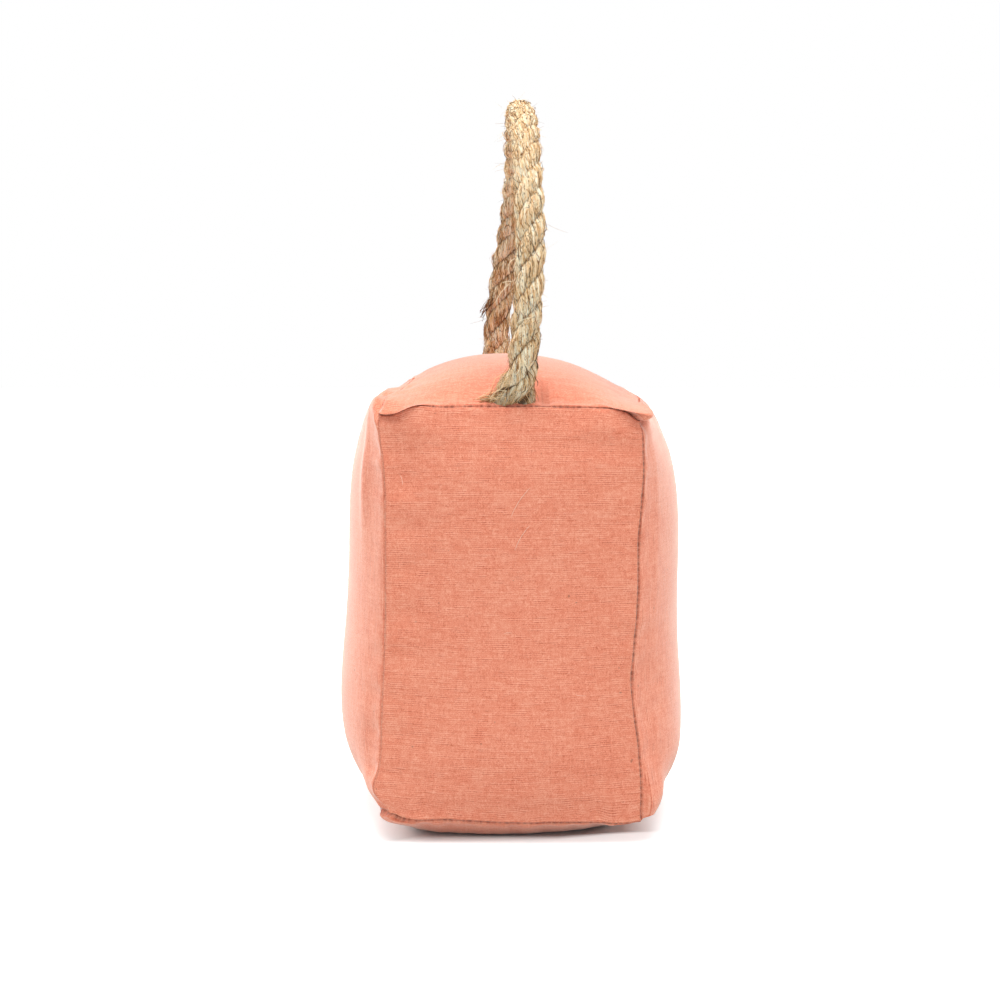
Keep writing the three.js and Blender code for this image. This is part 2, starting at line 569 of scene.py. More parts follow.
@dataclass
class BoxLattice:
    """The points on the outside of a box of grid lines, each point shared by its panels."""

    runs: tuple[Array, Array, Array]
    number: Array = field(init=False)
    places: Array = field(init=False)

    def __post_init__(self) -> None:
        """Numbers the outer points and finds the parameters of each, from -1 to 1."""
        shape = tuple(len(run) for run in self.runs)
        ends = [(np.arange(size) == 0) | (np.arange(size) == size - 1) for size in shape]
        outer = ends[0][:, None, None] | ends[1][None, :, None] | ends[2][None, None, :]
        self.number = np.full(shape, -1)
        self.number[outer] = np.arange(outer.sum())
        crossings = np.meshgrid(*self.runs, indexing="ij")
        self.places = np.stack([part[outer] for part in crossings], axis=-1)

    def panel(self, side: Side) -> tuple[Array, Array, Array]:
        """Lays out one panel's points so that its faces point outwards.

        Args:
            side: Which panel.

        Returns:
            Point numbers on the panel's grid, and the rising parameters along it and up it.
        """
        axis, end = side.value
        grid = np.take(self.number, 0 if end < 0 else -1, axis=axis)
        first, second = (self.runs[other] for other in range(3) if other != axis)
        if side in (Side.BACK, Side.LEFT):
            grid, first = grid[::-1], -first[::-1]
        if side is Side.BASE:
            grid, second = grid[:, ::-1], -second[::-1]
        return grid, first, second

    def spread(self, coarse: "BoxLattice", values: Array) -> Array:
        """Carries values from a coarser lattice over by cubic splines on each panel.

        Args:
            coarse: The lattice on which the values are known.
            values: One row for each of its points.

        Returns:
            One row for each of this lattice's points.
        """
        result = np.zeros((len(self.places), values.shape[1]))
        for side in Side:
            grid, first, second = self.panel(side)
            known, knots, rows = coarse.panel(side)
            along, up = spline_weights(knots, first), spline_weights(rows, second)
            result[grid] = np.einsum("im,mnk,jn->ijk", along, values[known], up, optimize=True)
        return result


@dataclass(frozen=True)
class Seam:
    """One of the twelve seams: the two panels that it joins, how deep its crease is and how dark the
    shade painted into it is.

    Lengths are in millimetres. Each of its gaps has its place along the seam, its reach and how
    much deeper the crease is there, as a share of its depth.
    """

    first: Side
    second: Side
    depth: float
    seed: int = 0
    gaps: tuple[tuple[float, float, float], ...] = ()
    shade: float = 0.9

    @property
    def axis(self) -> int:
        """The axis that the seam runs along."""
        return 3 - self.first.value[0] - self.second.value[0]

    @property
    def inward(self) -> Array:
        """The direction into the filling, halfway between the two panels."""
        direction = np.zeros(3)
        for side in (self.first, self.second):
            direction[side.value[0]] -= side.value[1]
        return direction / math.sqrt(2)


SEAMS = (
    Seam(Side.FRONT, Side.TOP, 1.0, 1, ((-51.5, 5, 1.6), (49, 4, 1.6)), 1.0),
    Seam(Side.FRONT, Side.RIGHT, 0.85, 2, (), 1.0),
    Seam(Side.FRONT, Side.LEFT, 0.6, 3, ((85, 5, 1.2),), 0.25),
    Seam(Side.FRONT, Side.BASE, 0.85, 4, ((-45, 6, 0.7),), 1.0),
    Seam(Side.BACK, Side.TOP, 1.1, 5, ((50, 5, 1.6),)),
    Seam(Side.BACK, Side.RIGHT, 1.0, 6),
    Seam(Side.BACK, Side.LEFT, 1.0, 7),
    Seam(Side.BACK, Side.BASE, 1.1, 8),
    Seam(Side.TOP, Side.LEFT, 0.45, 9, ((-64, 4, 1.2),), 0.3),
    Seam(Side.TOP, Side.RIGHT, 0.5, 10, (), 0.5),
    Seam(Side.BASE, Side.LEFT, 1.0, 11),
    Seam(Side.BASE, Side.RIGHT, 1.0, 12),
)


@dataclass(frozen=True)
class Lobe:
    """A soft swelling or dent of one panel: where it is, how far it reaches, how it pushes and how much
    darker it is painted.

    Lengths are in millimetres. Its middle and reach run from the panel's middle along the panel's
    two axes, in X, Y, Z order, and it fades out at the panel's seams so that they stay shut.
    """

    side: Side
    middle: tuple[float, float]
    reach: tuple[float, float]
    push_by: tuple[float, float, float]
    fade: float = 2.5
    # How much darker the cloth is painted over the lobe.
    shade: float = 0.0

    def strength(self, places: Array, spans: Array) -> Array:
        """How strong the lobe is: a bell along each of the panel's axes.

        Args:
            places: Parameters of the points, from -1 to 1.
            spans: The box's sizes.

        Returns:
            1 in its middle, 0 on the seams and on the other panels.
        """
        axis, end = self.side.value
        own = places[:, axis] * end > 1 - 1e-6
        strength = own.astype(float)
        axes = [other for other in range(3) if other != axis]
        for other, middle, reach in zip(axes, self.middle, self.reach):
            half = spans[other] / 2
            strength *= bump(places[:, other] * half, middle * MM, reach * MM)
            strength *= smooth_step((1 - np.abs(places[:, other])) * half, 0, self.fade * MM)
        return strength


LOBES = (
    Lobe(Side.LEFT, (-57, 79), (11, 9), (-1.6, -1, 5.0), 4),
    Lobe(Side.LEFT, (-30, 78), (22, 10), (0, 0, 7.5), 6),
    Lobe(Side.LEFT, (-53, 58), (4.5, 24), (-1.3, -0.6, 0)),
    Lobe(Side.TOP, (32, 0), (20, 50), (0, 0, 1.0), 6),
    Lobe(Side.BASE, (-52, -66), (7, 6), (-3.2, -1, -1.4), 1.2),
    # Painted shade on the right side, just under the top panel's overhanging right ear.
    Lobe(Side.RIGHT, (-67, 84), (6, 4), (-0.8, 0, 0), 0.6, 0.75),
    Lobe(Side.RIGHT, (-57, -32), (5, 3), (-0.9, 0, 0)),
    Lobe(Side.RIGHT, (-57, -42), (5, 3), (-0.9, 0, 0)),
    Lobe(Side.TOP, (50, -63), (8, 7), (7.5, -10, -2.4), 1.5),
    Lobe(Side.TOP, (-48, -65), (9, 6), (-1, -6.5, -2.2), 1.2),
    Lobe(Side.LEFT, (0, -52), (75, 48), (-2.8, 0, 0), 12),
    Lobe(Side.LEFT, (0, 60), (75, 40), (-0.8, 0, 0), 12),
    Lobe(Side.RIGHT, (0, 32), (75, 52), (4.2, 0, 0), 12),
    Lobe(Side.RIGHT, (0, -55), (75, 40), (2.8, 0, 0), 12),
    Lobe(Side.RIGHT, (-64, -81), (11, 11), (4.0, -1, -1)),
    Lobe(Side.RIGHT, (-40, -68), (24, 14), (2.0, 0, 0)),
    Lobe(Side.FRONT, (-46, 64), (9, 10), (0, 1.4, 0)),
    Lobe(Side.FRONT, (-47, 55), (5, 5), (0, 1.0, 0)),
    Lobe(Side.FRONT, (-47, 37), (7, 5), (0, 0.9, 0)),
    Lobe(Side.FRONT, (-47, 19), (7, 4), (0, 0.8, 0)),
    Lobe(Side.FRONT, (-47, 1), (7, 4), (0, 0.7, 0)),
    Lobe(Side.FRONT, (-47, -17), (7, 4), (0, 0.6, 0)),
    # Two small dents in the top by its front seam, each painted darker.
    Lobe(Side.TOP, (15, -62), (2.6, 8), (0, 0, -1.8), 1, 0.5),
    Lobe(Side.TOP, (20, -66), (5, 3), (0, 0, -0.6), 1, 0.22),
)


@dataclass(frozen=True)
class Tug:
    """A pull on the sewn frame that takes the seams and the panels round it along.

    Its place, its reach and its push are in millimetres along X, Y and Z.
    """

    place: tuple[float, float, float]
    reach: tuple[float, float, float]
    push_by: tuple[float, float, float]

    def push(self, points: Array) -> Array:
        """How the tug moves points: its push times a bell along X, Y and Z.

        Args:
            points: The points of the sewn frame.

        Returns:
            How each point moves.
        """
        offset = (points - np.array(self.place) * MM) / (np.array(self.reach) * MM)
        return np.exp(-np.sum(offset * offset, axis=1))[:, None] * np.array(self.push_by) * MM


# Pulls at the corners, along the uprights and under the base, as the photo shows them

TUGS = (
    Tug((-53, -71, 186), (9, 6, 7), (-0.4, 0, -2.7)),
    Tug((-53, -70, 179), (8, 8, 12), (-1.8, 0, 0)),
    Tug((-39, -70, 186), (6, 9, 7), (0, 0, 1.2)),
    Tug((-53, -56, 188), (9, 10, 9), (-1.0, 0, 2.2)),
    Tug((53, -70, 186), (4.6, 8, 7), (-1.4, 1.0, -4.8)),
    Tug((53, -70, 158), (14, 16, 25), (2.3, 0, 0)),
    Tug((53, -70, 110), (14, 16, 17), (0.9, 0, 0)),
    Tug((53, -70, 68), (14, 16, 20), (-2.5, 0, 0)),
    Tug((-53, -70, 155), (14, 16, 24), (0.3, 0, 0)),
    Tug((-53, -70, 60), (14, 16, 25), (-0.6, 0, 0)),
    Tug((-56, -70, 13), (8, 10, 8), (4.4, 0.6, 0.8)),
    Tug((-55, -68, 23), (9, 13, 8), (-3.6, 0, 0)),
    Tug((-53, -61, 13), (7, 5.5, 6), (-3.6, 0, 0)),
    Tug((-56, -40, 10), (14, 26, 10), (3.0, 0, 1.0)),
    Tug((10, -70, 11), (44, 12, 10), (0, 0, -2.6)),
    Tug((-45, -70, 12), (11, 9, 8), (0, 0, -2.0)),
    Tug((36, -70, 12), (14, 10, 8), (0, 0, -0.7)),
    Tug((50, -70, 12), (10, 10, 9), (-0.4, 0, -2.9)),
    Tug((56, -57, 13), (12, 8, 9), (1.8, 0, -1.5)),
    Tug((56, -15, 15), (10, 30, 5), (1.3, 0, 0)),
    Tug((-56, -30, 8), (14, 30, 6), (2.0, 0, 0.5)),
    Tug((-50, -12, 189), (11, 34, 8), (8.6, 0, 5.6)),
    Tug((53, -5, 189), (13, 46, 9), (6.5, 0, -2.5)),
    Tug((54, -58, 187), (7, 8, 7), (1.4, 0, 1.0)),
)

# Stray fibres on the front: the start, bend and end of each, as X and Z in millimetres

LINT = (
    ((7.7, 153.0), (2.8, 148.0), (0.0, 141.1)),
    ((7.7, 137.4), (3.4, 132.6), (1.6, 127.0)),
    ((-46.0, 158.0), (-44.5, 156.0), (-45.0, 153.5)),
    ((27.0, 66.0), (29.0, 65.2), (31.5, 65.4)),
    ((-3.0, 92.0), (-1.4, 92.8), (0.5, 92.4)),
)


@dataclass
class StuffedBag:
    """The filled bag: six canvas panels drawn out between twelve bowed seams."""

    canvas: bpy.types.Material
    stitch_pitch: float = CanvasFinish.stitch_pitch
    width_top: float = 107 * MM
    width_base: float = 112 * MM
    depth: float = 140 * MM
    seam_top: float = 186 * MM
    seam_base: float = 13 * MM
    upright_tuck: float = 3 * MM
    top_side_tuck: float = 3.8 * MM
    top_side_rise: float = 3 * MM
    top_front_tuck: float = 2 * MM
    top_front_rise: float = 1 * MM
    base_front_drop: float = 2 * MM
    base_side_drop: float = 5 * MM
    side_bulge: float = 25.4 * MM
    front_bulge: float = 10 * MM
    top_bulge: float = 17.5 * MM
    top_skew: float = 0.09
    base_sag: float = 18 * MM
    cloth_cell: float = 3.4 * MM
    most_settling: float = 2.6 * MM
    settling_frames: int = 20
    fill_pressure: float = 4
    finest_step: float = 0.28 * MM
    widest_step: float = 2.2 * MM
    step_growth: float = 1.055
    pucker_height: float = 0.55 * MM
    pucker_reach: float = 7 * MM
    pucker_length: float = 12 * MM
    floor_press: float = 0.8 * MM
    thread_radius: float = 0.12 * MM
    lint_radius: float = 0.1 * MM
    lattice: BoxLattice = field(init=False)
    points: Array = field(init=False)

    @property
    def spans(self) -> Array:
        """The box's sizes along X, Y and Z, for distances over the panels."""
        return np.array([self.width_base, self.depth, self.seam_top - self.seam_base])

    @staticmethod
    def cushion(value: Array, fullness: float, shoulder: float) -> Array:
        """A filled panel's profile: (1 - |t| to the fullness) to the shoulder, from seam to seam.

        Args:
            value: From -1 to 1 between two seams.
            fullness: How flat the middle is.
            shoulder: How steeply it leaves the seams, with 0.5 as a round shoulder.

        Returns:
            0 at the seams and 1 in the middle.
        """
        held = 0.988 * np.abs(value)
        rim = (1 - 0.988**fullness) ** shoulder
        return ((1 - held**fullness) ** shoulder - rim) / (1 - rim)

    def frame_points(self, places: Array) -> Array:
        """Points of the sewn frame with no filling: patches between straight seams that bow.

        Args:
            places: Parameters from -1 to 1 along X, Y and Z.

        Returns:
            Points in metres.
        """
        a, b, c = places.T
        up = (1 + c) / 2
        low = 1 - up
        bow_a, bow_b, bow_c = 1 - a * a, 1 - b * b, 1 - c * c
        half = (self.width_top * up + self.width_base * low) / 2
        drawn = self.upright_tuck * bow_c
        x = a * (half - drawn - self.top_side_tuck * up * bow_b)
        y = b * (self.depth / 2 - drawn - self.top_front_tuck * up * bow_a)
        rise = up * (self.top_front_rise * bow_a + self.top_side_rise * bow_b)
        drop = low * (self.base_front_drop * bow_a + self.base_side_drop * bow_b)
        z = self.seam_top * up + self.seam_base * low + rise - drop
        return np.stack([x, y, z], axis=-1)

    def filled_points(self, places: Array) -> Array:
        """The frame's points pushed out by the filling and pressed flat by the floor.

        Args:
            places: Parameters from -1 to 1 along X, Y and Z.

        Returns:
            Points in metres.
        """
        points = self.frame_points(places)
        a, b, c = places.T
        on = [np.where(np.abs(value) > 1 - 1e-6, np.sign(value), 0) for value in (a, b, c)]
        upright = self.cushion(c, 6, 0.5)
        upper = np.where(c > 0, self.cushion(c, 4, 0.42), upright)
        lower_left = np.where((a < 0) & (c < 0), self.cushion(c, 4.5, 0.52), upper)
        points[:, 0] += on[0] * self.side_bulge * self.cushion(b, 2, 0.62) * lower_left
        rounder = np.where((on[1] < 0) & (c > 0), self.cushion(c, 4, 0.5), upright)
        points[:, 1] += on[1] * self.front_bulge * self.cushion(a, 2, 0.62) * rounder
        leaning = a + self.top_skew * (1 - a * a)
        dome = self.cushion(leaning, 2, 0.66) * self.cushion(b, 2.2, 0.62)
        points[:, 2] += (on[2] > 0) * self.top_bulge * dome
        tilted = b - 0.24 * np.maximum(a + 0.2, 0) ** 1.2 * (1 - b * b)
        belly = self.cushion(a, 6, 0.46) * self.cushion(tilted, 3, 0.6)
        points[:, 2] -= (on[2] < 0) * self.base_sag * belly
        points[:, 2] = np.maximum(points[:, 2], 0)
        return points

    def seam_distance(self, seam: Seam, places: Array) -> Array:
        """How far points lie from a seam, over the panels: the sum of the two ways off it."""
        total = np.zeros(len(places))
        for axis, end in (seam.first.value, seam.second.value):
            total += (1 - end * places[:, axis]) / 2 * self.spans[axis]
        return total

    def crease_depth(self, seam: Seam, along: Array) -> Array:
        """How deep a seam's crease is.

        Args:
            seam: Which seam.
            along: Distance along it from its middle.

        Returns:
            The depth: the seam's own, times an uneven wave and its gaps.
        """
        depth = 1 + 0.2 * ripple(along, 21 * MM, seam.seed)
        for centre, reach, more in seam.gaps:
            depth += more * bump(along, centre * MM, reach * MM)
        return seam.depth * MM * depth

    def creases(self, places: Array) -> tuple[Array, Array, Array]:
        """Rolls the panels' edges into each seam along a quarter circle.

        A point at distance s from a seam of crease depth r sinks by r less the height of that
        circle, which is the root of (2rs less s squared), for s under r.

        Args:
            places: Parameters of the points.

        Returns:
            How each point moves, how strongly shade is painted there, from 0 to 1 and darkest deep in a
            crease, and how far along its nearest seam.
        """
        moved = np.zeros((len(places), 3))
        valley = np.zeros(len(places))
        nearest = np.full(len(places), np.inf)
        run = np.zeros(len(places))
        for seam in SEAMS:
            apart = self.seam_distance(seam, places)
            along = places[:, seam.axis] * self.spans[seam.axis] / 2
            reach = self.crease_depth(seam, along)
            near = np.minimum(apart, reach)
            sunk = reach - np.sqrt(np.maximum(2 * reach * near - near * near, 0))
            moved += sunk[:, None] * seam.inward
            # Painted shade, darkest at the bottom of each crease.
            valley = np.maximum(valley, seam.shade * (sunk / reach) ** 0.5)
            run = np.where(apart < nearest, along, run)
            nearest = np.minimum(nearest, apart)
            pucker = np.exp(-apart / self.pucker_reach) * smooth_step(apart, 0, 3 * MM)
            pucker *= self.pucker_height * ripple(along, self.pucker_length, seam.seed + 40)
            moved += pucker[:, None] * seam.inward
        return moved, valley, run

    def own_shape(self, places: Array) -> tuple[Array, Array]:
        """What this bag has of its own: uneven corners, dents and lobes.

        Args:
            places: Parameters of the points.

        Returns:
            How each point moves, and how much darker the cloth is painted there: painted shade under the
            top panel's right ear, and two darker dents on the top.
        """
        moved = np.zeros((len(places), 3))
        shade = np.zeros(len(places))
        for lobe in LOBES:
            strength = lobe.strength(places, self.spans)
            moved += strength[:, None] * (np.array(lobe.push_by) * MM)
            # The darkening that some lobes paint on the cloth.
            shade = np.maximum(shade, strength * lobe.shade)
        sewn = self.frame_points(places)
        for tug in TUGS:
            moved += tug.push(sewn)
        return moved, shade

    def cloth_lattice(self) -> BoxLattice:
        """The even grid that the simulated cloth is cut on."""
        counts = np.round(self.spans / self.cloth_cell).astype(int)
        return BoxLattice(tuple(np.linspace(-1, 1, count + 1) for count in counts))

    def fine_lattice(self) -> BoxLattice:
        """The grid of the finished bag, with its lines crowded towards the seams."""
        return BoxLattice(tuple(self._crowded(span) for span in self.spans))

    def _crowded(self, span: float) -> Array:
        """Lines finest_step apart at both seams, widening to widest_step in the middle.

        Args:
            span: From seam to seam, in metres.

        Returns:
            Rising parameters from -1 to 1.
        """
        growth = self.step_growth ** np.maximum(np.arange(400) - 6, 0)
        steps = np.minimum(self.finest_step * growth, self.widest_step)
        reach = np.concatenate([[0], np.cumsum(steps)])
        half = reach[reach < span / 2 - 0.6 * MM]
        rising = -1 + 2 * half / span
        return np.concatenate([rising, [0.0], -rising[::-1]])

    def settled(self, lattice: BoxLattice) -> Array:
        """Lets simulated cloth find its own puckers under the filling's pressure.

        The movement is then evened once inside each panel, by half of each point's own and a
        quarter of each neighbour's, along the panel's two axes in turn.

        Args:
            lattice: The cloth's grid.

        Returns:
            How each point moves, with no movement over most_settling.
        """
        start = self.filled_points(lattice.places)
        top = np.array([0, 0, self.seam_top])
        grids = [lattice.panel(side)[0] for side in Side]
        skin = Skin(start - top, np.concatenate([quads_of(grid) for grid in grids]))
        cloth = skin.object("cloth_trial", self.canvas)
        cloth.location = top
        near = np.min([self.seam_distance(seam, lattice.places) for seam in SEAMS], axis=0)
        corner = np.sum(1 - np.abs(lattice.places), axis=1)
        gather = cloth.vertex_groups.new(name="gather")
        gather.add(np.flatnonzero(near < 1.5 * self.cloth_cell).tolist(), 1.0, "REPLACE")
        hold = cloth.vertex_groups.new(name="hold")
        hold.add(np.flatnonzero(corner < 0.02).tolist(), 1.0, "REPLACE")
        modifier = cloth.modifiers.new("cloth", "CLOTH")
        cut = modifier.settings
        cut.quality = 8
        cut.mass = 0.002
        cut.tension_stiffness, cut.compression_stiffness, cut.shear_stiffness = 60, 30, 15
        cut.bending_stiffness = 0.1
        cut.use_pressure = True
        cut.uniform_pressure_force = self.fill_pressure
        cut.vertex_group_shrink = "gather"
        cut.shrink_min, cut.shrink_max = 0.0, 0.045
        cut.vertex_group_mass = "hold"
        cut.effector_weights.gravity = 0
        modifier.collision_settings.use_collision = False
        modifier.point_cache.frame_start = 1
        modifier.point_cache.frame_end = self.settling_frames
        for number in range(1, self.settling_frames + 1):
            bpy.context.scene.frame_set(number)
        shaped = cloth.evaluated_get(bpy.context.evaluated_depsgraph_get()).data
        found = np.empty(len(start) * 3, dtype=np.float32)
        shaped.vertices.foreach_get("co", found)
        bpy.data.objects.remove(cloth, do_unlink=True)
        bpy.context.scene.frame_set(1)
        move = found.reshape(-1, 3) + top - start
        size = np.linalg.norm(move, axis=1, keepdims=True)
        move = move * self.most_settling * np.tanh(size / self.most_settling) / np.maximum(size, 1e-9)
        for grid in grids:
            rough = move[grid]
            evened = rough[1:-1] / 2 + (rough[:-2] + rough[2:]) / 4
            evened = evened[:, 1:-1] / 2 + (evened[:, :-2] + evened[:, 2:]) / 4
            move[grid[1:-1, 1:-1]] = evened
        return move

    def build(self) -> bpy.types.Object:
        """Returns:
            The bag.
        """
        self.lattice = self.fine_lattice()
        places = self.lattice.places
        points = self.filled_points(places)
        cloth = self.cloth_lattice()
        points += self.lattice.spread(cloth, self.settled(cloth))
        sunk, valley, run = self.creases(places)
        moved, shade = self.own_shape(places)
        points += sunk + moved
        pressed = self.floor_press * (1 - smooth_step(points[:, 2], 0, 8 * MM))
        points[:, 2] = np.maximum(points[:, 2] - pressed, 0)
        self.points = points
        quads, maps = [], []
        for order, side in enumerate(Side):
            grid, first, second = self.lattice.panel(side)
            quads.append(quads_of(grid))
            axes = [axis for axis in range(3) if axis != side.value[0]]
            width, height = self.spans[axes] / 2
            mesh = np.meshgrid(first * width + order, second * height, indexing="ij")
            flat = np.stack(mesh, axis=-1)
            if side in (Side.LEFT, Side.RIGHT):
                flat = flat[..., ::-1]
            maps.append(corners_of(flat).reshape(-1, 2))
        # The painted crease shade, with the darkening that some lobes paint added to it.
        numbers = {"valley": np.maximum(valley, shade), "run": run}
        skin = Skin(points, np.concatenate(quads), numbers=numbers, loop_uv=np.concatenate(maps))
        bag = skin.object("bag", self.canvas)
        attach(bag, "root")
        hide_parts("stuffed_bag")
        return bag

    def seam_line(self, seam: Seam, first_step: int = 0, second_step: int = 0) -> Array:
        """The points along one seam, or along a lattice line beside it.

        Args:
            seam: Which seam.
            first_step: How many lines off its first panel, on the second one.
            second_step: How many lines off its second panel, on the first one.

        Returns:
            Points from the seam's low end to its high end.
        """
        index: list = [slice(None)] * 3
        for (axis, end), step in ((seam.first.value, first_step), (seam.second.value, second_step)):
            index[axis] = step if end < 0 else -1 - step
        return self.points[self.lattice.number[tuple(index)]]

    def stitches(self, thread: bpy.types.Material) -> bpy.types.Object:
        """Sews short rungs of thread across every seam, one for each stitch.

        Args:
            thread: Their finish.

        Returns:
            One piece of them all.
        """
        rungs = []
        for seam in SEAMS:
            half = self.spans[seam.axis] / 2
            reach = (half - 3 * MM) / self.stitch_pitch
            stops = (np.arange(math.ceil(-reach), math.floor(reach)) + 0.75) * self.stitch_pitch
            known = self.lattice.runs[seam.axis] * half
            lines = [self.seam_line(seam, 3, 0), self.seam_line(seam), self.seam_line(seam, 0, 3)]
            before, on, after = (
                np.stack([np.interp(stops, known, part) for part in line.T], axis=-1) for line in lines
            )
            sink = seam.inward * 0.15 * MM
            lifted = (before + after) / 2 * 0.75 + on * 0.25
            rungs.append(np.stack([before + sink, lifted, after + sink], axis=1))
        paths = np.concatenate(rungs)
        radii = np.full(paths.shape[:2], self.thread_radius)
        sewn = fibres(paths, radii, 5).object("seam_stitches", thread)
        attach(sewn, "root")
        return sewn

    def lint(self, loose: bpy.types.Material) -> bpy.types.Object:
        """Lays the stray fibres that cling to the front panel.

        Args:
            loose: Their finish.

        Returns:
            One piece of them all.
        """
        start, bend, end = np.array(LINT).transpose(1, 0, 2) * MM
        flat = arcs(start, bend, end, 12)
        paths = self.front_spot(flat[..., 0], flat[..., 1], 0.12 * MM)
        thinning = 1 - 0.6 * np.abs(np.linspace(-1, 1, 12)) ** 3
        radii = np.full(paths.shape[:2], self.lint_radius) * thinning
        laid = fibres(paths, radii, 5).object("lint", loose)
        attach(laid, "root")
        return laid

    def front_spot(self, x: Array, z: Array, lift: float) -> Array:
        """Points just off the front panel at given X and Z.

        Args:
            x: Across, in metres.
            z: Up, in metres.
            lift: How far in front of the cloth.

        Returns:
            Points in metres.
        """
        grid = self.lattice.panel(Side.FRONT)[0]
        surface = self.points[grid]
        column = np.abs(surface[:, surface.shape[1] // 2, 0] - x[..., None]).argmin(axis=-1)
        row = np.abs(surface[column, :, 2] - z[..., None]).argmin(axis=-1)
        depth = surface[column, row, 1] - lift
        return np.stack([x, depth, z], axis=-1)


def quads_of(grid: Array) -> Array:
    """The faces of a grid of point numbers, each corner by corner."""
    return corners_of(grid).reshape(-1, 4)


def corners_of(grid: Array) -> Array:
    """The values at the four corners of each face of a grid, in the faces' order."""
    return np.stack([grid[:-1, :-1], grid[1:, :-1], grid[1:, 1:], grid[:-1, 1:]], axis=2)


# The rope


# Long loose fibres: the start, bend and end of each in millimetres, and how light it is

STRAYS = (
    ((1.6, -74, 246.7), (-3.0, -75, 244.0), (-0.4, -74, 240.3), 0.95),
    ((-0.4, -73, 236.5), (-4.6, -75, 233.5), (-6.4, -76, 228.6), 0.98),
    ((0.5, -73, 237.2), (-1.6, -74, 237.6), (-3.4, -75, 236.8), 0.9),
    ((2.3, -77, 220.6), (5.4, -77.6, 222.6), (8.1, -77, 222.8), 1.0),
    ((2.7, -76, 213.4), (-0.8, -76, 215.0), (-3.2, -75.5, 213.4), 0.3),
    ((-2.2, -75, 219.0), (-3.6, -75.5, 216.0), (-1.4, -75.5, 213.2), 0.75),
    ((3.4, -77.4, 206.6), (4.6, -78, 203.0), (2.0, -77.4, 199.6), 0.98),
    ((4.6, -77.4, 206.0), (6.4, -78, 203.6), (7.6, -77.4, 201.0), 0.95),
)


